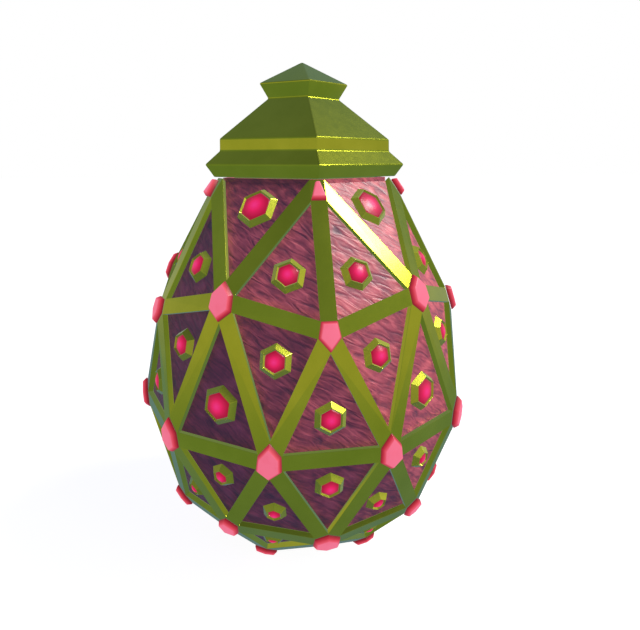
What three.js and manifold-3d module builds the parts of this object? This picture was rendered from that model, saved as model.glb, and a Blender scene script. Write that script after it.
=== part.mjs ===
// A jewelled egg: a hollow enamelled egg of flat panels under a gilt lattice of struts. A coral stone is
// set on every crossing of the lattice, a bezel with a six-sided gem on nearly every panel, and a stepped
// five-sided cap lifts off the mouth.
// Millimetres, +Z up, origin on the floor under the middle of the foot.

import * as THREE from 'three';
import { ConvexGeometry } from 'three/addons/geometries/ConvexGeometry.js';
import { mergeVertices } from 'three/addons/utils/BufferGeometryUtils.js';
import Module from 'manifold-3d';

const wasm = await Module();
wasm.setup();

// Everything repeats five times round the egg. Turns are in degrees from the front, which faces -Y,
// towards +X.
const FIFTHS = 5;
const FIFTH_TURN = 360 / FIFTHS;
const HALF_FIFTH = FIFTH_TURN / 2;

// The lattice's crossings stand on level rings: the radius, the height above the floor, and the turns of
// the crossings within one fifth. The sole is the edge of the flat plate above the foot: it has no stones.
const RINGS = {
  mouth: { radius: 21.0, height: 93.1, turns: [0] },
  shoulder: { radius: 34.1, height: 71.3, turns: [36] },
  chest: { radius: 35.5, height: 66.0, turns: [0] },
  belly: { radius: 40.0, height: 41.0, turns: [18, 54] },
  flank: { radius: 35.5, height: 21.0, turns: [36] },
  hip: { radius: 33.5, height: 17.7, turns: [0] },
  base: { radius: 21.2, height: 4.5, turns: [36] },
  sole: { radius: 13.0, height: 1.6, turns: [36] },
};

const STONE_RINGS = Object.keys(RINGS).filter((ring) => ring !== 'sole');

// Panels within one fifth, by their corners, with the radius of the gem. The gem's first corner points to
// the first corner named here. A paired panel has a mirror image on the other side of turn 0.
const PANEL_KINDS = [
  { corners: [['shoulder', 36], ['mouth', 0], ['mouth', 72]], gem: 3.4 },
  { corners: [['shoulder', 36], ['mouth', 0], ['chest', 0]], gem: 2.3, paired: true },
  { corners: [['belly', 18], ['shoulder', 36], ['chest', 0]], gem: 2.25, paired: true },
  { corners: [['belly', 18], ['chest', 0], ['belly', -18]], gem: 2.25 },
  { corners: [['belly', 54], ['shoulder', 36], ['belly', 18]], gem: 2.95 },
  { corners: [['belly', -18], ['hip', 0], ['belly', 18]], gem: 2.05 },
  { corners: [['belly', 54], ['flank', 36], ['belly', 18]], gem: 1.5 },
  { corners: [['belly', 18], ['flank', 36], ['hip', 0]], gem: 1.45, paired: true },
  { corners: [['flank', 36], ['base', 36], ['hip', 0]], gem: 1.45, paired: true },
  { corners: [['base', 36], ['hip', 0], ['base', -36]], gem: 2.0 },
  { corners: [['base', 36], ['base', -36], ['sole', -36], ['sole', 36]] },
];

// Lattice and shell
const STRUT_HALF_WIDTH = 1.72;
const PANEL_RECESS = 1.35;
const SHELL_WALL = 1.6;
const FIT_GAP = 0.1;
const NECK_OVERLAP = 2;

// Bezels and gems, with heights above the panel and widths beside the gem's edge
const BEZEL_WIDTH = 1.32;
const BEZEL_RIDGE_WIDTH = 0.55;
const BEZEL_HEIGHT = 1.25;
const BEZEL_ROOT = 0.8;
const GEM_EDGE_HEIGHT = 0.45;
const GEM_SHOULDER_HEIGHT = 1.05;
const GEM_SHOULDER_SHARE = 0.6;
const GEM_TOP_HEIGHT = 1.3;
const GEM_SIDES = 6;
const MOUTH_GEM_WEIGHTS = [0.23, 0.385, 0.385];

// Stones on the crossings, with heights above the lattice
const STONE_SHARE = 0.95;
const STONE_EDGE_HEIGHT = 0.4;
const STONE_TABLE_HEIGHT = 1.4;
const STONE_TABLE_SHARE = 0.78;
const MOUTH_STONE_TOP_WIDTH = 0.9;

// Cap: five-sided steps from its lower edge to the tip, by radius and height above the floor
const CAP_STEPS = {
  lowerEdge: [21.3, 93.3],
  rim: [23.2, 95.9],
  bandBottom: [19.8, 98.7],
  bandTop: [19.7, 101.2],
  waist: [8.3, 109.7],
  knob: [10.3, 112.7],
  tip: [0, 117.6],
};
const SPIGOT_RADIUS = 16.8;
const SPIGOT_DEPTH = 2;

// Foot
const FOOT_RADIUS = 11.5;
const FOOT_TOP_RADIUS = 12.6;
const FOOT_HEIGHT = 1.5;

const GILT = new THREE.MeshStandardMaterial({ color: 0x8a8520, metalness: 1, roughness: 0.35 });
const ENAMEL = new THREE.MeshStandardMaterial({ color: 0x8c465a, metalness: 0, roughness: 0.3 });
const CORAL = new THREE.MeshStandardMaterial({ color: 0xf06e8c, metalness: 0, roughness: 0.2 });

// Solids from closed geometries

function volumeOf(points, triangles) {
  let sum = 0;
  for (const [a, b, c] of triangles) {
    sum += points[a].dot(new THREE.Vector3().crossVectors(points[b], points[c]));
  }
  return sum / 6;
}

function solid(geometry) {
  const bare = geometry.clone();
  bare.deleteAttribute('normal');
  bare.deleteAttribute('uv');
  const merged = mergeVertices(bare, 1e-4);
  const position = merged.getAttribute('position');
  const pointAt = (_, i) => new THREE.Vector3().fromBufferAttribute(position, i);
  const points = Array.from({ length: position.count }, pointAt);
  const index = Array.from(merged.getIndex().array);
  let triangles = [];
  for (let i = 0; i < index.length; i += 3) {
    triangles.push(index.slice(i, i + 3));
  }
  triangles = triangles.filter(([a, b, c]) => a !== b && b !== c && c !== a);
  if (volumeOf(points, triangles) < 0) {
    triangles = triangles.map(([a, b, c]) => [a, c, b]);
  }
  return new wasm.Manifold(new wasm.Mesh({
    numProp: 3,
    vertProperties: Float32Array.from(position.array),
    triVerts: Uint32Array.from(triangles.flat()),
  }));
}

const hull = (points) => solid(new ConvexGeometry(points));

function piece(name, body, material) {
  const { vertProperties, triVerts } = body.getMesh();
  const geometry = new THREE.BufferGeometry();
  geometry.setAttribute('position', new THREE.BufferAttribute(Float32Array.from(vertProperties), 3));
  geometry.setIndex(new THREE.BufferAttribute(Uint32Array.from(triVerts), 1));
  const faceted = geometry.toNonIndexed();
  faceted.computeVertexNormals();
  const mesh = new THREE.Mesh(faceted, material);
  mesh.name = name;
  return mesh;
}

// A profile of [radius, height] steps turned about Z with flat sides, its first corner at the given turn
function turned(profile, sides, turn = 0) {
  const points = profile.map(([radius, height]) => new THREE.Vector2(radius, height));
  const geometry = new THREE.LatheGeometry(points, sides, THREE.MathUtils.degToRad(turn));
  return geometry.rotateX(Math.PI / 2);
}

// Crossings of the lattice

const UP = new THREE.Vector3(0, 0, 1);
const HEART = UP.clone().multiplyScalar(RINGS.belly.height);

const crossingName = (ring, turn) => `${ring} ${((turn % 360) + 360) % 360}`;

function ringPoint(radius, turn, height) {
  const angle = THREE.MathUtils.degToRad(turn);
  return new THREE.Vector3(radius * Math.sin(angle), -radius * Math.cos(angle), height);
}

function makeCrossings() {
  const crossings = new Map();
  for (const [ring, { radius, height, turns }] of Object.entries(RINGS)) {
    for (let fifth = 0; fifth < FIFTHS; fifth += 1) {
      for (const turnInFifth of turns) {
        const turn = turnInFifth + fifth * FIFTH_TURN;
        const name = crossingName(ring, turn);
        crossings.set(name, { name, ring, turn, place: ringPoint(radius, turn, height), seats: [] });
      }
    }
  }
  return crossings;
}

const onRing = (crossings, ring) => [...crossings.values()].filter((crossing) => crossing.ring === ring);

// Loops of points

const middle = (points) => points
  .reduce((sum, point) => sum.add(point), new THREE.Vector3())
  .divideScalar(points.length);

// The direction that a loop of points faces, if they run anticlockwise
function loopNormal(points) {
  const normal = new THREE.Vector3();
  points.forEach((point, i) => {
    normal.add(new THREE.Vector3().crossVectors(point, points[(i + 1) % points.length]));
  });
  return normal.normalize();
}

function flatten(points) {
  const normal = loopNormal(points);
  const centre = middle(points);
  points.forEach((point) => point.addScaledVector(normal, centre.clone().sub(point).dot(normal)));
}

// Panels and their windows in the lattice

const alongMouth = (a, b) => a.ring === 'mouth' && b.ring === 'mouth';

// Corners moved in by a margin from each edge; margins[i] belongs to the edge from corner i to the next one
function insetCorners(corners, margins) {
  const count = corners.length;
  return corners.map((corner, i) => {
    const last = (i + count - 1) % count;
    const ahead = corners[(i + 1) % count].clone().sub(corner).normalize();
    const behind = corners[last].clone().sub(corner).normalize();
    const spread = new THREE.Vector3().crossVectors(ahead, behind).length();
    return corner.clone()
      .addScaledVector(ahead, margins[last] / spread)
      .addScaledVector(behind, margins[i] / spread);
  });
}

// A panel's crossings run anticlockwise seen from outside. Its window reaches the edge along the mouth.
function makePanel(corners, gem) {
  const outward = corners[0].place.clone().sub(HEART);
  const facesOut = loopNormal(corners.map(({ place }) => place)).dot(outward) > 0;
  const members = facesOut ? corners : [corners[0], ...corners.slice(1).reverse()];
  const places = members.map(({ place }) => place);
  const margins = members.map((member, i) => {
    const next = members[(i + 1) % members.length];
    return alongMouth(member, next) ? 0 : STRUT_HALF_WIDTH;
  });
  return { members, places, gem, normal: loopNormal(places), window: insetCorners(places, margins) };
}

function makePanels(crossings) {
  const panels = [];
  for (const { corners, gem, paired } of PANEL_KINDS) {
    for (let fifth = 0; fifth < FIFTHS; fifth += 1) {
      for (const side of paired ? [1, -1] : [1]) {
        const at = ([ring, turn]) => crossings.get(crossingName(ring, side * turn + fifth * FIFTH_TURN));
        panels.push(makePanel(corners.map(at), gem));
      }
    }
  }
  panels.push({ ...makePanel(onRing(crossings, 'sole')), closed: true });
  return panels;
}

// Every crossing lists the window corners around it, anticlockwise seen from outside
function seatCrossings(crossings, panels) {
  panels.forEach(({ members, normal, window }, panel) => members.forEach((member, corner) => {
    member.seats.push({ panel, corner, normal, place: window[corner] });
  }));
  for (const { seats, place } of crossings.values()) {
    const outward = middle(seats.map(({ normal }) => normal)).normalize();
    const start = seats[0].place.clone().sub(place).projectOnPlane(outward).normalize();
    const across = new THREE.Vector3().crossVectors(outward, start);
    const angle = (seat) => {
      const arm = seat.place.clone().sub(place);
      return Math.atan2(arm.dot(across), arm.dot(start));
    };
    seats.sort((a, b) => angle(a) - angle(b));
  }
}

// All window corners moved in by a depth, flat across every crossing: one list of points for each panel
function layerAt({ crossings, panels }, depth) {
  const layer = panels.map(({ window, normal }) => window.map((corner) => corner.clone()
    .addScaledVector(normal, -depth)));
  for (const crossing of crossings.values()) {
    flatten(seatCorners(crossing, layer));
  }
  return layer;
}

const seatCorners = ({ seats }, layer) => seats.map(({ panel, corner }) => layer[panel][corner]);

// The corners of a layer along the mouth
const mouthCorners = ({ panels }, layer) => panels.flatMap(({ members }, panel) => {
  const corners = layer[panel].filter((_, i) => members[i].ring === 'mouth');
  return corners.length === 2 ? corners : [];
});

// The egg inside a layer, with a straight neck through the mouth up to a given height
function eggInside(model, layer, neckTop) {
  const rim = mouthCorners(model, layer);
  const neck = [...rim.map((corner) => corner.clone().setZ(neckTop)),
    ...rim.map((corner) => corner.clone().addScaledVector(UP, -NECK_OVERLAP))];
  return hull(layer.flat()).add(hull(neck));
}

// The lattice between an outer and an inner layer: walls round the windows, struts, crossings and open ends
function latticeGeometry({ crossings, panels }, outer, inner) {
  const faces = [];
  const struts = new Map();
  const addBoth = (pick) => faces.push(ridgeFirst(pick(outer)), ridgeFirst(pick(inner).reverse()));
  const addStrut = (a, b) => addBoth((layer) => [
    layer[a.panel][a.to], layer[a.panel][a.from], layer[b.panel][b.to], layer[b.panel][b.from],
  ]);
  panels.forEach(({ members, closed }, panel) => {
    if (closed) {
      addBoth((layer) => [...layer[panel]]);
    }
    members.forEach((member, from) => {
      const to = (from + 1) % members.length;
      if (alongMouth(member, members[to])) {
        return;
      }
      if (!closed) {
        faces.push([outer[panel][from], outer[panel][to], inner[panel][to], inner[panel][from]]);
      }
      const name = [member.name, members[to].name].sort().join(' to ');
      if (struts.has(name)) {
        addStrut({ panel, from, to }, struts.get(name));
      }
      struts.set(name, { panel, from, to });
    });
  });
  for (const crossing of crossings.values()) {
    addBoth((layer) => seatCorners(crossing, layer));
  }
  for (const crossing of onRing(crossings, 'mouth')) {
    const ends = crossing.seats.map(({ panel }) => alongMouth(...panels[panel].members.slice(1)));
    const right = ends.findIndex((end, i) => end && ends[(i + 1) % ends.length]);
    const left = (right + 1) % ends.length;
    const above = seatCorners(crossing, outer);
    const below = seatCorners(crossing, inner);
    faces.push([above[left], above[right], below[right], below[left]]);
  }
  return geometryOf(faces);
}

// A slightly twisted strut face starts at the diagonal that stands further out, where it is folded
function ridgeFirst(face) {
  const [first, second, third, fourth] = face;
  const standing = (a, b) => middle([a, b]).distanceTo(HEART);
  const wrongFold = face.length === 4 && standing(second, fourth) > standing(first, third);
  return wrongFold ? [second, third, fourth, first] : face;
}

// Faces with any number of corners, as triangles that fan out from the first one
function geometryOf(faces) {
  const fan = (face) => face.slice(2).map((point, i) => [face[0], face[i + 1], point]);
  const triangles = faces.flatMap(fan);
  return new THREE.BufferGeometry().setFromPoints(triangles.flat());
}

// Stones

// A crossing's stone stands on the flat between the strut ends. One under the cap is narrow at the top.
function seatOutline(crossing, { panels }, layer) {
  const { ring, turn, place, seats } = crossing;
  const corners = seatCorners(crossing, layer);
  if (ring !== 'mouth') {
    return corners;
  }
  const besideChest = ({ panel }) => panels[panel].members.some((member) => member.ring === 'chest');
  const low = corners.filter((_, i) => besideChest(seats[i]));
  const sideways = ringPoint(MOUTH_STONE_TOP_WIDTH / 2, turn + 90, 0);
  const normal = loopNormal(corners);
  const top = [place.clone().add(sideways), place.clone().sub(sideways)]
    .map((point) => point.addScaledVector(normal, low[0].clone().sub(point).dot(normal)));
  return [...low, ...top];
}

function stoneBody(crossing, model, layer) {
  const corners = seatOutline(crossing, model, layer);
  const normal = loopNormal(seatCorners(crossing, layer));
  const centre = middle(corners);
  const outline = (share, height) => corners.map((corner) => corner.clone().sub(centre)
    .multiplyScalar(share).add(centre).addScaledVector(normal, height));
  const body = hull([
    ...outline(STONE_SHARE, FIT_GAP),
    ...outline(STONE_SHARE, STONE_EDGE_HEIGHT),
    ...outline(STONE_SHARE * STONE_TABLE_SHARE, STONE_TABLE_HEIGHT),
  ]);
  return crossing.ring === 'mouth' ? body.subtract(aboveMouth()) : body;
}

// Everything over the level where the cap rests
function aboveMouth() {
  const size = 4 * RINGS.belly.radius;
  return solid(new THREE.BoxGeometry(size, size, size).translate(0, 0, RINGS.mouth.height + size / 2));
}

// Bezel and gem of one panel, rooted in the shell's wall
function settingBody({ members, places, gem, normal }) {
  const centre = gemCentre(members, places).addScaledVector(normal, -PANEL_RECESS);
  const back = centre.clone().sub(places[0]).projectOnPlane(normal).normalize();
  const across = new THREE.Vector3().crossVectors(back, normal);
  const profile = [
    [0, -BEZEL_ROOT],
    [gem + BEZEL_WIDTH, -BEZEL_ROOT],
    [gem + BEZEL_WIDTH, 0],
    [gem + BEZEL_RIDGE_WIDTH, BEZEL_HEIGHT],
    [gem, GEM_EDGE_HEIGHT],
    [gem * GEM_SHOULDER_SHARE, GEM_SHOULDER_HEIGHT],
    [0, GEM_TOP_HEIGHT],
  ];
  const placed = new THREE.Matrix4().makeBasis(across, back, normal).setPosition(centre);
  return solid(turned(profile, GEM_SIDES).applyMatrix4(placed));
}

// Halfway between the panel's centroid and its incentre, or higher on a panel under the cap
function gemCentre(members, places) {
  const opposite = places.map((_, i) => places[(i + 1) % 3].distanceTo(places[(i + 2) % 3]));
  const around = opposite.reduce((sum, length) => sum + length, 0);
  const underCap = alongMouth(members[1], members[2]);
  const centre = new THREE.Vector3();
  places.forEach((place, i) => {
    const weight = underCap ? MOUTH_GEM_WEIGHTS[i] : (1 / 3 + opposite[i] / around) / 2;
    centre.addScaledVector(place, weight);
  });
  return centre;
}

// Pieces

function shellBody(model) {
  const outside = eggInside(model, layerAt(model, PANEL_RECESS), RINGS.mouth.height);
  const inside = eggInside(model, layerAt(model, PANEL_RECESS + SHELL_WALL), CAP_STEPS.rim[1]);
  const settings = model.panels.filter(({ gem }) => gem).map(settingBody);
  return outside.subtract(inside).add(wasm.Manifold.union(settings));
}

function frameBody(model) {
  return solid(latticeGeometry(model, layerAt(model, 0), layerAt(model, PANEL_RECESS - FIT_GAP)));
}

function capBody() {
  const bottom = CAP_STEPS.lowerEdge[1];
  const profile = [
    [0, bottom - SPIGOT_DEPTH],
    [SPIGOT_RADIUS, bottom - SPIGOT_DEPTH],
    [SPIGOT_RADIUS, bottom],
    ...Object.values(CAP_STEPS),
  ];
  return solid(turned(profile, FIFTHS));
}

function footBody() {
  const profile = [[0, 0], [FOOT_RADIUS, 0], [FOOT_TOP_RADIUS, FOOT_HEIGHT], [0, FOOT_HEIGHT]];
  return solid(turned(profile, FIFTHS, HALF_FIFTH));
}

function jewelledEgg() {
  const crossings = makeCrossings();
  const panels = makePanels(crossings);
  seatCrossings(crossings, panels);
  const model = { crossings, panels };
  const outer = layerAt(model, 0);
  const group = new THREE.Group();
  group.add(piece('shell', shellBody(model), ENAMEL));
  group.add(piece('frame', frameBody(model), GILT));
  group.add(piece('cap', capBody(), GILT));
  group.add(piece('foot', footBody(), GILT));
  for (const ring of STONE_RINGS) {
    onRing(crossings, ring).forEach((crossing, i) => {
      group.add(piece(`stone_${ring}_${i + 1}`, stoneBody(crossing, model, outer), CORAL));
    });
  }
  return group;
}

export default jewelledEgg();
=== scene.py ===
# %% [markdown]
# # A jewelled egg
# The egg is a shell of flat enamelled panels under a gilt lattice. Coral stones sit on the crossings, a
# gem in a gilt bezel sits on nearly every panel, and a stepped gilt cap closes the top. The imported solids
# already hold every place and size. This lesson takes its measures from them, rounds their edges, gives
# the settings their own pieces and paints every surface.

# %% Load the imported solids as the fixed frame
import math

import bmesh
import bpy
from mathutils import Matrix, Vector


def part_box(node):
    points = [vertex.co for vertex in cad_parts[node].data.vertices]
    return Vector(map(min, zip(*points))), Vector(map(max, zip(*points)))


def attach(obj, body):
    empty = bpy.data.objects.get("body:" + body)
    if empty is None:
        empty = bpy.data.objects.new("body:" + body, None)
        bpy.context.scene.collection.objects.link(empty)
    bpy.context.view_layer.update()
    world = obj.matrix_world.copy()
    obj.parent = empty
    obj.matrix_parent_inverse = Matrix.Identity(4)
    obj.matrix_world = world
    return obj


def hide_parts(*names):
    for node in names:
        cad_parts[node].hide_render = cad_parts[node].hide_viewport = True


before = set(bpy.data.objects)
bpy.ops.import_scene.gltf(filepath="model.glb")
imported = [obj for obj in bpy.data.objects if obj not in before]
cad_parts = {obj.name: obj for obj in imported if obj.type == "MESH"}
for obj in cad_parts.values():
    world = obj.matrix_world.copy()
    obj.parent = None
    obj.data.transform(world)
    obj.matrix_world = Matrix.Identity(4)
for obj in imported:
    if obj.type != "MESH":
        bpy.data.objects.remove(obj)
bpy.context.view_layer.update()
MM = 0.001
BODY = "root"

# %% [markdown]
# ## From solids to pieces
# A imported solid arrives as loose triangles. Joining their corners and dissolving the lines inside each
# flat face gives a clean mesh that the bevel operator can work on. The solid itself is never changed: a
# copy is shaped, and the copy then stands for it. In this picture the pieces don't mirror one another and
# only the enamelled shell casts a shadow, which keeps every facet in one clear tone.

# %% Helpers that copy a solid and finish a piece
JOIN_DISTANCE = 0.002 * MM
FLAT_ANGLE = math.radians(0.6)


def joined_copy(node):
    copy = bmesh.new()
    copy.from_mesh(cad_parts[node].data)
    bmesh.ops.remove_doubles(copy, verts=copy.verts, dist=JOIN_DISTANCE)
    return copy


def dissolve_flats(copy):
    bmesh.ops.dissolve_limit(copy, angle_limit=FLAT_ANGLE, verts=copy.verts, edges=copy.edges)


def round_edges(copy, width, least_angle, segments):
    sharp = [edge for edge in copy.edges if edge.is_manifold and edge.calc_face_angle() > least_angle]
    bmesh.ops.bevel(copy, geom=sharp, offset=width, offset_type="OFFSET", affect="EDGES",
                    segments=segments, profile=0.5, material=-1, clamp_overlap=True)


def count_open_edges(shape):
    return sum(edge.is_boundary for edge in shape.edges)


def add_object(name, shape, finish):
    mesh = bpy.data.meshes.new(name)
    shape.to_mesh(mesh)
    shape.free()
    mesh.materials.append(finish)
    made = bpy.data.objects.new(name, mesh)
    bpy.context.scene.collection.objects.link(made)
    return made


def add_piece(name, shape, finish, slot, *stands_for):
    piece = add_object(name, shape, finish)
    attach(piece, BODY)
    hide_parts(*stands_for)
    piece.visible_glossy = False
    piece.visible_shadow = slot == "enamel"
    return piece


# %% [markdown]
# ## Node helpers
# Every finish is a small node tree around one Principled shader. A few helpers add the nodes that nearly
# all of them need: a noise, a colour ramp, a change of range and a bump.

# %% Small functions for node trees
def new_finish(name):
    material = bpy.data.materials.new(name)
    material.use_nodes = True
    tree = material.node_tree
    return material, tree, tree.nodes["Principled BSDF"]


def add_noise(tree, vector, scale, detail=3.0, roughness=0.55, distortion=0.0):
    noise = tree.nodes.new("ShaderNodeTexNoise")
    noise.inputs["Scale"].default_value = scale
    noise.inputs["Detail"].default_value = detail
    noise.inputs["Roughness"].default_value = roughness
    noise.inputs["Distortion"].default_value = distortion
    tree.links.new(vector, noise.inputs["Vector"])
    return noise.outputs["Fac"]


def add_ramp(tree, value, stops):
    ramp = tree.nodes.new("ShaderNodeValToRGB")
    elements = ramp.color_ramp.elements
    while len(elements) < len(stops):
        elements.new(0.5)
    for element, (position, colour) in zip(elements, stops):
        element.position = position
        element.color = (*colour, 1.0)
    tree.links.new(value, ramp.inputs["Fac"])
    return ramp.outputs["Color"]


def add_range(tree, value, low, high):
    spread = tree.nodes.new("ShaderNodeMapRange")
    spread.inputs["To Min"].default_value = low
    spread.inputs["To Max"].default_value = high
    tree.links.new(value, spread.inputs["Value"])
    return spread.outputs["Result"]


def add_bump(tree, shader, height, strength, distance):
    bump = tree.nodes.new("ShaderNodeBump")
    bump.inputs["Strength"].default_value = strength
    bump.inputs["Distance"].default_value = distance
    tree.links.new(height, bump.inputs["Height"])
    tree.links.new(bump.outputs["Normal"], shader.inputs["Normal"])


def object_place(tree):
    return tree.nodes.new("ShaderNodeTexCoord").outputs["Object"]


# %% [markdown]
# ## Gilt
# The lattice, the bezels, the cap and the foot are of one greenish gold, polished but not mirror bright.
# A metal gets its look from what it reflects, so the colour varies only a little, in soft clouds. A finer
# noise moves the roughness, as rubbing with a cloth does. The bezels are a little less metallic, so that
# their small slopes also scatter light and don't go dark.

# %% The gilt finish
GOLD_DEEP = (0.56, 0.60, 0.035)
GOLD_LIGHT = (0.68, 0.70, 0.05)
GOLD_EDGE = (0.80, 0.97, 1.0, 1.0)
GOLD_STOPS = [(0.3, GOLD_DEEP), (0.7, GOLD_LIGHT)]
GOLD_CLOUDS_PER_M = 90.0
RUBBING_PER_M = 700.0
RUBBED_ROUGHNESS = (0.18, 0.26)
RUBBING_DEPTH = 0.05 * MM
CASTING_METALLIC = 1.0
BEZEL_METALLIC = 0.7


def gilt_finish(name, metallic):
    material, tree, shader = new_finish(name)
    place = object_place(tree)
    clouds = add_noise(tree, place, scale=GOLD_CLOUDS_PER_M, detail=4.0)
    colour = add_ramp(tree, clouds, GOLD_STOPS)
    tree.links.new(colour, shader.inputs["Base Color"])
    rubbing = add_noise(tree, place, scale=RUBBING_PER_M, detail=5.0, distortion=0.6)
    tree.links.new(add_range(tree, rubbing, *RUBBED_ROUGHNESS), shader.inputs["Roughness"])
    add_bump(tree, shader, rubbing, strength=0.02, distance=RUBBING_DEPTH)
    shader.inputs["Metallic"].default_value = metallic
    shader.inputs["Specular Tint"].default_value = GOLD_EDGE
    return material


gilt = gilt_finish("green_gold", CASTING_METALLIC)
bezel_gilt = gilt_finish("satin_bezel_gold", BEZEL_METALLIC)
print("finishes:", gilt.name, bezel_gilt.name)

# %% [markdown]
# ## Streaky enamel
# The panels are mauve enamel over a brushed foil: streaks run slantwise down every panel and catch the
# light in fine wavy lines. A noise that is stretched along one direction makes the streaks. It reads a UV
# map, laid flat on each panel in millimetres, so the streaks follow the panel wherever it faces. A
# second, wider noise mottles the colour between plum and pale rose, as a hand-laid enamel is mottled.

# %% The enamel finish
GRAIN_MAP = "panel_grain"
STREAK_SLANT = math.radians(-33)
STREAK_LENGTH = 4.2
STREAK_WIDTH = 1.3
STREAK_DEPTH = 0.5 * MM
BLOTCHES_PER_MM = 0.28
BLOTCH_SHARE = 0.45
ENAMEL_PLUM = (0.13, 0.034, 0.060)
ENAMEL_ROSE = (0.39, 0.068, 0.092)
ENAMEL_PALE = (0.66, 0.13, 0.15)
ENAMEL_STOPS = [(0.32, ENAMEL_PLUM), (0.5, ENAMEL_ROSE), (0.68, ENAMEL_PALE)]
ENAMEL_ROUGHNESS = (0.42, 0.52)
ENAMEL_SHINE = 0.7


def enamel_finish():
    material, tree, shader = new_finish("streaky_mauve_enamel")
    grain = tree.nodes.new("ShaderNodeUVMap")
    grain.uv_map = GRAIN_MAP
    slant = tree.nodes.new("ShaderNodeMapping")
    slant.vector_type = "TEXTURE"
    slant.inputs["Rotation"].default_value = (0.0, 0.0, STREAK_SLANT)
    slant.inputs["Scale"].default_value = (STREAK_LENGTH, STREAK_WIDTH, 1.0)
    tree.links.new(grain.outputs["UV"], slant.inputs["Vector"])
    streaks = add_noise(tree, slant.outputs["Vector"], scale=1.0, detail=1.5, roughness=0.45,
                        distortion=0.8)
    blotches = add_noise(tree, grain.outputs["UV"], scale=BLOTCHES_PER_MM, detail=3.0)
    mottle = tree.nodes.new("ShaderNodeMix")
    mottle.inputs["Factor"].default_value = BLOTCH_SHARE
    tree.links.new(streaks, mottle.inputs["A"])
    tree.links.new(blotches, mottle.inputs["B"])
    colour = add_ramp(tree, mottle.outputs["Result"], ENAMEL_STOPS)
    tree.links.new(colour, shader.inputs["Base Color"])
    tree.links.new(add_range(tree, streaks, *ENAMEL_ROUGHNESS), shader.inputs["Roughness"])
    add_bump(tree, shader, streaks, strength=0.55, distance=STREAK_DEPTH)
    shader.inputs["Specular IOR Level"].default_value = ENAMEL_SHINE
    return material


enamel = enamel_finish()
print("finish:", enamel.name)

# %% [markdown]
# ## Gems and stones
# The gems are magenta, painted hottest in the middle and crimson at the edge as shade on the sloping
# dome. The stones on the crossings are opaque coral, painted dark red towards the foot as shade on the
# sloping sides. Both finishes read an attribute called rim, which runs from 0 at the middle of the top to
# 1 at the lower edge of each stone. A painted glow of their own colour, though a stone is no lamp, keeps
# them bright on the shaded side.

# %% The gem and coral finishes
RIM = "rim"
# Painted shade: each ramp runs from a bright top to a dark lower edge, as light falls off on the sloping
# sides.
GEM_SHADE_STOPS = [(0.0, (0.84, 0.026, 0.20)), (0.45, (0.76, 0.008, 0.10)), (1.0, (0.34, 0.0, 0.02))]
CORAL_SHADE_STOPS = [(0.0, (0.88, 0.16, 0.25)), (0.12, (0.78, 0.085, 0.13)), (0.45, (0.55, 0.025, 0.045)),
               (0.8, (0.26, 0.006, 0.012)), (1.0, (0.16, 0.003, 0.006))]
STONE_CLOUDS_PER_M = 420.0
RIM_DRIFT = 0.06
ROUGHNESS_SPREAD = 0.1
# Painted glow: the stones emit their own colour so they stay bright in shade, and only a small share of the
# colour answers the lamps.
STONE_BODY = 0.15
PAINTED_STONE_GLOW = 0.95


def stone_finish(name, stops, roughness):
    material, tree, shader = new_finish(name)
    rim = tree.nodes.new("ShaderNodeAttribute")
    rim.attribute_name = RIM
    clouds = add_noise(tree, object_place(tree), scale=STONE_CLOUDS_PER_M, detail=3.0)
    drift = tree.nodes.new("ShaderNodeMath")
    drift.operation = "ADD"
    tree.links.new(rim.outputs["Fac"], drift.inputs[0])
    tree.links.new(add_range(tree, clouds, -RIM_DRIFT, RIM_DRIFT), drift.inputs[1])
    # The rim ramp paints shade: darker towards the lower edge of each stone.
    colour = add_ramp(tree, drift.outputs["Value"], stops)
    depth = tree.nodes.new("ShaderNodeVectorMath")
    depth.operation = "SCALE"
    depth.inputs["Scale"].default_value = STONE_BODY
    tree.links.new(colour, depth.inputs[0])
    tree.links.new(depth.outputs["Vector"], shader.inputs["Base Color"])
    # Painted glow: the ramp colour is emitted as well, though a stone is no lamp.
    tree.links.new(colour, shader.inputs["Emission Color"])
    shader.inputs["Emission Strength"].default_value = PAINTED_STONE_GLOW
    gloss = add_range(tree, clouds, roughness, roughness + ROUGHNESS_SPREAD)
    tree.links.new(gloss, shader.inputs["Roughness"])
    return material


magenta = stone_finish("magenta_gem", GEM_SHADE_STOPS, roughness=0.34)
coral = stone_finish("coral_stone", CORAL_SHADE_STOPS, roughness=0.36)
print("finishes:", magenta.name, coral.name)

# %% [markdown]
# ## Finding the settings
# The solids hold each bezel and gem fused to the shell. A gem's top is easy to find again: it is the only
# kind of corner where six edges of one length meet. Its six neighbours give the gem's middle, the way it
# faces and its size.

# %% Find every gem on the shell
GEM_SIDES = 6
GEM_TOP_HEIGHT = 1.3 * MM
GEM_SHOULDER_SHARE = 0.6
SAME_LENGTH = 1.01
LEAST_RISE = 0.1 * MM


def find_settings(shell):
    settings = []
    for top in shell.verts:
        arms = [edge.other_vert(top).co - top.co for edge in top.link_edges]
        if len(arms) != GEM_SIDES:
            continue
        lengths = [arm.length for arm in arms]
        down = sum(arms, Vector()) / GEM_SIDES
        if max(lengths) > SAME_LENGTH * min(lengths) or down.length < LEAST_RISE:
            continue
        outward = -down.normalized()
        corner = arms[0] - down
        middle = top.co - outward * GEM_TOP_HEIGHT
        across = outward.cross(corner.normalized())
        turn = Matrix((corner.normalized(), across, outward)).transposed()
        settings.append({"place": Matrix.Translation(middle) @ turn.to_4x4(),
                         "radius": corner.length / GEM_SHOULDER_SHARE})
    return settings


shell = joined_copy("shell")
settings = find_settings(shell)
print("settings found:", len(settings))

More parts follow.
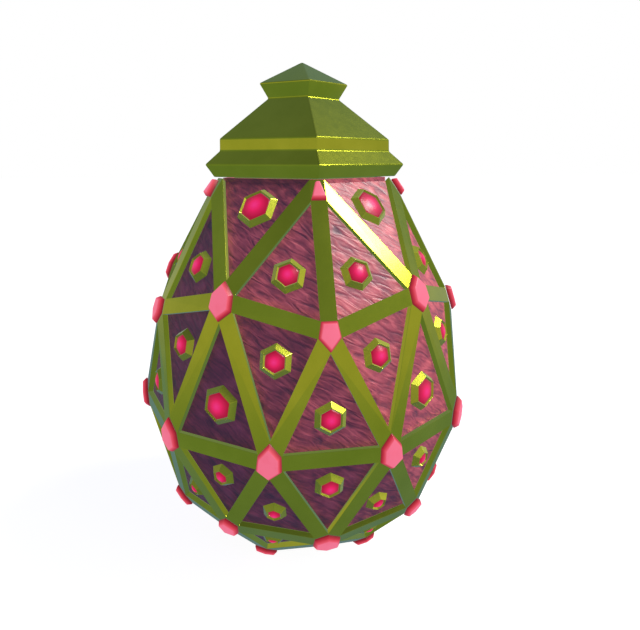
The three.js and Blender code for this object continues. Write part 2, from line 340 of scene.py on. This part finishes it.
# %% [markdown]
# ## The enamelled shell
# To part the settings from the shell, the faces that stand within each bezel's outline are deleted, down
# to the low wall that sinks into the panel, and the six-sided holes are filled again. Dissolving the
# flats then leaves one clean face, or a few, for each panel. Each face gets its own flat UV map for the
# streaks, with one axis level and the other one uphill.

# %% Make the bare shell
BEZEL_WIDTH = 1.32 * MM
BEZEL_WALL = 0.2 * MM
NEAR = 0.03 * MM
LEAST_SLOPE = 0.00003


def belongs_to_setting(face, setting):
    into_setting = setting["place"].inverted()
    reach = setting["radius"] + BEZEL_WIDTH + NEAR
    for corner in face.verts:
        local = into_setting @ corner.co
        if local.xy.length > reach or not -BEZEL_WALL < local.z < GEM_TOP_HEIGHT + NEAR:
            return False
    return True


def clear_setting(shell, setting):
    reach = setting["radius"] + BEZEL_WIDTH + 2 * GEM_TOP_HEIGHT
    middle = setting["place"].translation
    close = [face for face in shell.faces if (face.calc_center_median() - middle).length < reach]
    taken = [face for face in close if belongs_to_setting(face, setting)]
    bmesh.ops.delete(shell, geom=taken, context="FACES")


def lay_grain_map(shell):
    layer = shell.loops.layers.uv.new(GRAIN_MAP)
    for face in shell.faces:
        level = Vector((0.0, 0.0, 1.0)).cross(face.normal)
        level = level.normalized() if level.length > LEAST_SLOPE else Vector((1.0, 0.0, 0.0))
        uphill = face.normal.cross(level)
        for loop in face.loops:
            loop[layer].uv = (loop.vert.co.dot(level) / MM, loop.vert.co.dot(uphill) / MM)


for setting in settings:
    clear_setting(shell, setting)
open_edges = [edge for edge in shell.edges if edge.is_boundary]
bmesh.ops.holes_fill(shell, edges=open_edges, sides=0)
dissolve_flats(shell)
lay_grain_map(shell)
print("shell faces:", len(shell.faces), "open edges:", count_open_edges(shell))
add_piece("enamel_shell", shell, enamel, "enamel", "shell")

# %% [markdown]
# ## Bezels and gems
# A bezel is a six-sided collar, wide at its foot and steep inside. A profile that is spun in six steps
# makes it, and a small bevel lets its edges catch the light. The gem inside is a low dome on a six-sided
# base. Spinning gives the base, and a subdivision surface with a creased rim rounds only the top.

# %% Spin the collars and domes
BEZEL_RIDGE_WIDTH = 0.25 * MM
BEZEL_HEIGHT = 1.25 * MM
BEZEL_ROOT = 0.3 * MM
BEZEL_ROUNDING = 0.07 * MM
GEM_EDGE_HEIGHT = 0.85 * MM
GEM_SHOULDER_HEIGHT = 1.3 * MM
DOME_HEIGHT = 1.55 * MM
GEM_PLAY = 0.02 * MM
RIM_CREASE = 0.85
COLLAR_SHARP = math.radians(40)
DOME_LEVELS = 2


def spun(profile, closed):
    shape = bmesh.new()
    corners = [shape.verts.new((radius, 0.0, height)) for radius, height in profile]
    pairs = list(zip(corners, corners[1:]))
    if closed:
        pairs.append((corners[-1], corners[0]))
    edges = [shape.edges.new(pair) for pair in pairs]
    bmesh.ops.spin(shape, geom=corners + edges, cent=(0, 0, 0), axis=(0, 0, 1), dvec=(0, 0, 0),
                   angle=2 * math.pi, steps=GEM_SIDES, use_merge=True, use_duplicate=False)
    bmesh.ops.remove_doubles(shape, verts=shape.verts, dist=JOIN_DISTANCE)
    bmesh.ops.recalc_face_normals(shape, faces=shape.faces)
    return shape


def bezel_shape(radius):
    profile = [(radius, -BEZEL_ROOT), (radius + BEZEL_WIDTH, -BEZEL_ROOT), (radius + BEZEL_WIDTH, 0.0),
               (radius + BEZEL_RIDGE_WIDTH, BEZEL_HEIGHT), (radius, GEM_EDGE_HEIGHT)]
    collar = spun(profile, closed=True)
    round_edges(collar, BEZEL_ROUNDING, COLLAR_SHARP, segments=2)
    return collar


def gem_shape(radius):
    edge = radius - GEM_PLAY
    profile = [(0.0, -BEZEL_ROOT), (edge, -BEZEL_ROOT), (edge, GEM_EDGE_HEIGHT),
               (edge * GEM_SHOULDER_SHARE, GEM_SHOULDER_HEIGHT), (0.0, DOME_HEIGHT)]
    dome = spun(profile, closed=False)
    rim = dome.verts.layers.float.new(RIM)
    crease = dome.edges.layers.float.new("crease_edge")
    for corner in dome.verts:
        corner[rim] = 1.0 if corner.co.z < 0 else min(corner.co.xy.length / edge, 1.0)
    for line in dome.edges:
        on_edge = all(corner.co.xy.length > edge - NEAR for corner in line.verts)
        line[crease] = RIM_CREASE if on_edge else 0.0
    for face in dome.faces:
        face.smooth = True
    return dome


def append_placed(group, shape, place):
    bmesh.ops.transform(shape, matrix=place, verts=shape.verts)
    passing = bpy.data.meshes.new("passing")
    shape.to_mesh(passing)
    shape.free()
    group.from_mesh(passing)
    bpy.data.meshes.remove(passing)


def rows_by_height(settings):
    rows = {}
    for setting in settings:
        rows.setdefault(round(setting["place"].translation.z / MM), []).append(setting)
    return [rows[height] for height in sorted(rows, reverse=True)]


for number, row in enumerate(rows_by_height(settings), start=1):
    collars = bmesh.new()
    domes = bmesh.new()
    for setting in row:
        append_placed(collars, bezel_shape(setting["radius"]), setting["place"])
        append_placed(domes, gem_shape(setting["radius"]), setting["place"])
    add_piece(f"bezels_row_{number}", collars, bezel_gilt, "gilt", "shell")
    gems = add_piece(f"gems_row_{number}", domes, magenta, None, "shell")
    dome_rounding = gems.modifiers.new("dome", "SUBSURF")
    dome_rounding.levels = DOME_LEVELS
    dome_rounding.render_levels = DOME_LEVELS
    print("row", number, "has", len(row), "settings of radius", round(row[0]["radius"] / MM, 2), "mm")

# %% [markdown]
# ## Lattice, cap and foot
# The gilt castings keep the shape of their solids. A bevel of a tenth of a millimetre or two takes the
# razor edge off, as filing and polishing do, and gives every edge a fine bright line.

# %% Round the edges of the gilt castings
CASTINGS = {"frame": ("gilt_lattice", 0.1 * MM),
            "cap": ("gilt_cap", 0.22 * MM),
            "foot": ("gilt_foot", 0.15 * MM)}
CASTING_SHARP = math.radians(24)

for node, (name, rounding) in CASTINGS.items():
    casting = joined_copy(node)
    dissolve_flats(casting)
    round_edges(casting, rounding, CASTING_SHARP, segments=2)
    print(name, "faces:", len(casting.faces), "open edges:", count_open_edges(casting))
    add_piece(name, casting, gilt, "gilt", node)

# %% [markdown]
# ## Coral stones
# Each stone has a flat table and soft sloping sides. The solid already has the right outline, so a copy
# is bevelled in three segments and shaded smooth. The rim attribute comes from the height of each corner
# below the table, measured the way the stone faces.

# %% Soften the stones
STONE_ROUNDING = 0.32 * MM
STONE_SHARP = math.radians(20)


def table_of(stone, heart):
    return max(stone.faces, key=lambda face: (face.calc_center_median() - heart).dot(face.normal))


def stone_shape(node, heart):
    stone = joined_copy(node)
    dissolve_flats(stone)
    table = table_of(stone, heart)
    outward = table.normal.copy()
    level = table.calc_center_median().dot(outward)
    depth = max(level - corner.co.dot(outward) for corner in stone.verts)
    round_edges(stone, STONE_ROUNDING, STONE_SHARP, segments=3)
    rim = stone.verts.layers.float.new(RIM)
    for corner in stone.verts:
        corner[rim] = (level - corner.co.dot(outward)) / depth
    for face in stone.faces:
        face.smooth = True
    return stone


frame_low, frame_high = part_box("frame")
heart = Vector((0.0, 0.0, (frame_low.z + frame_high.z) / 2))
stones = sorted(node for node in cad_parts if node.startswith("stone_"))
for node in stones:
    add_piece(node.replace("stone", "coral"), stone_shape(node, heart), coral, "coral", node)
print("stones:", len(stones))

# %% [markdown]
# ## Floor, light and camera
# The egg stands on a plain pale floor in front of a white ground. The main light is a soft box high on
# the right, and a wide sun from the same side lifts the panels without showing in the metal. The camera
# sees the room as white. The metal sees it dim and cool with a paler horizon, because a metal shows its
# colour best when it reflects little, and the shaded panels get an even bluish light. The camera has the
# place and lens that were worked out from the photograph.

# %% Set the stage
FLOOR_HALF = 3.0
FLOOR_COLOUR = (0.3, 0.3, 0.3, 1.0)
FLOOR_ROUGHNESS = 0.9
FLOOR_GLOW = 0.93
WHITE = (1.0, 1.0, 1.0, 1.0)
KEY_DIRECTION = Vector((0.65, -0.13, 0.75))
KEY_DISTANCE = 0.5
KEY_SIZE = 0.16
KEY_WATTS = 2.6
KEY_COLOUR = (1.0, 0.96, 0.88)
SKY_DIRECTION = Vector((0.77, -0.42, 0.48))
SKY_STRENGTH = 1.2
SKY_ANGLE = math.radians(50)
SHADE_COLOUR = (0.11, 0.14, 0.38, 1.0)
ROOM_STOPS = [(0.0, (0.16, 0.23, 0.36)), (0.38, (0.20, 0.28, 0.36)), (0.47, (0.46, 0.44, 0.44)),
              (0.54, (0.46, 0.44, 0.44)), (0.65, (0.21, 0.28, 0.36)), (0.85, (0.17, 0.22, 0.32)),
              (1.0, (0.10, 0.13, 0.22))]
IMAGE_WIDTH = 640
SENSOR_WIDTH = 36.0
FOCAL_PIXELS = 536.73
CAMERA_PLACE = Vector((-17.59, -128.25, 96.94)) * MM
CAMERA_HEADING = 0.1669
CAMERA_DIP = 0.282
CLIP_START = 5 * MM
RIGHT_ANGLE = math.pi / 2


def add_floor():
    material, _, shader = new_finish("pale_floor")
    shader.inputs["Base Color"].default_value = FLOOR_COLOUR
    shader.inputs["Roughness"].default_value = FLOOR_ROUGHNESS
    shader.inputs["Specular IOR Level"].default_value = 0.0
    shader.inputs["Emission Color"].default_value = WHITE
    shader.inputs["Emission Strength"].default_value = FLOOR_GLOW
    shape = bmesh.new()
    bmesh.ops.create_grid(shape, x_segments=1, y_segments=1, size=FLOOR_HALF)
    floor = add_object("floor", shape, material)
    floor.visible_diffuse = False
    floor.visible_glossy = False


def add_lamp(name, kind, direction, energy):
    lamp = bpy.data.lights.new(name, kind)
    lamp.energy = energy
    holder = bpy.data.objects.new(name, lamp)
    holder.rotation_euler = direction.to_track_quat("Z", "Y").to_euler()
    bpy.context.scene.collection.objects.link(holder)
    return holder


def add_soft_box():
    box = add_lamp("key", "AREA", KEY_DIRECTION, KEY_WATTS)
    box.location = heart + KEY_DIRECTION.normalized() * KEY_DISTANCE
    box.data.size = KEY_SIZE
    box.data.color = KEY_COLOUR


def add_sky_light():
    sky = add_lamp("sky", "SUN", SKY_DIRECTION, SKY_STRENGTH)
    sky.data.angle = SKY_ANGLE
    sky.visible_glossy = False


def mixed(tree, share, first, second):
    mix = tree.nodes.new("ShaderNodeMixShader")
    tree.links.new(share, mix.inputs["Fac"])
    tree.links.new(first.outputs[0], mix.inputs[1])
    tree.links.new(second.outputs[0], mix.inputs[2])
    return mix


def dim_room():
    world = bpy.data.worlds.new("room")
    world.use_nodes = True
    tree = world.node_tree
    backdrop = tree.nodes["Background"]
    backdrop.inputs["Color"].default_value = WHITE
    room = tree.nodes.new("ShaderNodeBackground")
    way = tree.nodes.new("ShaderNodeSeparateXYZ")
    tree.links.new(tree.nodes.new("ShaderNodeTexCoord").outputs["Generated"], way.inputs["Vector"])
    height = tree.nodes.new("ShaderNodeMapRange")
    height.inputs["From Min"].default_value = -1.0
    tree.links.new(way.outputs["Z"], height.inputs["Value"])
    tree.links.new(add_ramp(tree, height.outputs["Result"], ROOM_STOPS), room.inputs["Color"])
    seen = tree.nodes.new("ShaderNodeLightPath")
    shade_light = tree.nodes.new("ShaderNodeBackground")
    shade_light.inputs["Color"].default_value = SHADE_COLOUR
    unseen = mixed(tree, seen.outputs["Is Diffuse Ray"], room, shade_light)
    whole = mixed(tree, seen.outputs["Is Camera Ray"], unseen, backdrop)
    tree.links.new(whole.outputs[0], tree.nodes["World Output"].inputs["Surface"])
    bpy.context.scene.world = world


def add_camera():
    lens = bpy.data.cameras.new("camera")
    lens.sensor_width = SENSOR_WIDTH
    lens.lens = FOCAL_PIXELS * SENSOR_WIDTH / IMAGE_WIDTH
    lens.clip_start = CLIP_START
    camera = bpy.data.objects.new("camera", lens)
    camera.location = CAMERA_PLACE
    camera.rotation_euler = (RIGHT_ANGLE - CAMERA_DIP, 0.0, -CAMERA_HEADING)
    bpy.context.scene.collection.objects.link(camera)
    bpy.context.scene.camera = camera


add_floor()
dim_room()
add_soft_box()
add_sky_light()
add_camera()
bpy.context.scene.view_settings.view_transform = "Standard"
print("camera lens:", round(bpy.context.scene.camera.data.lens, 2), "mm")
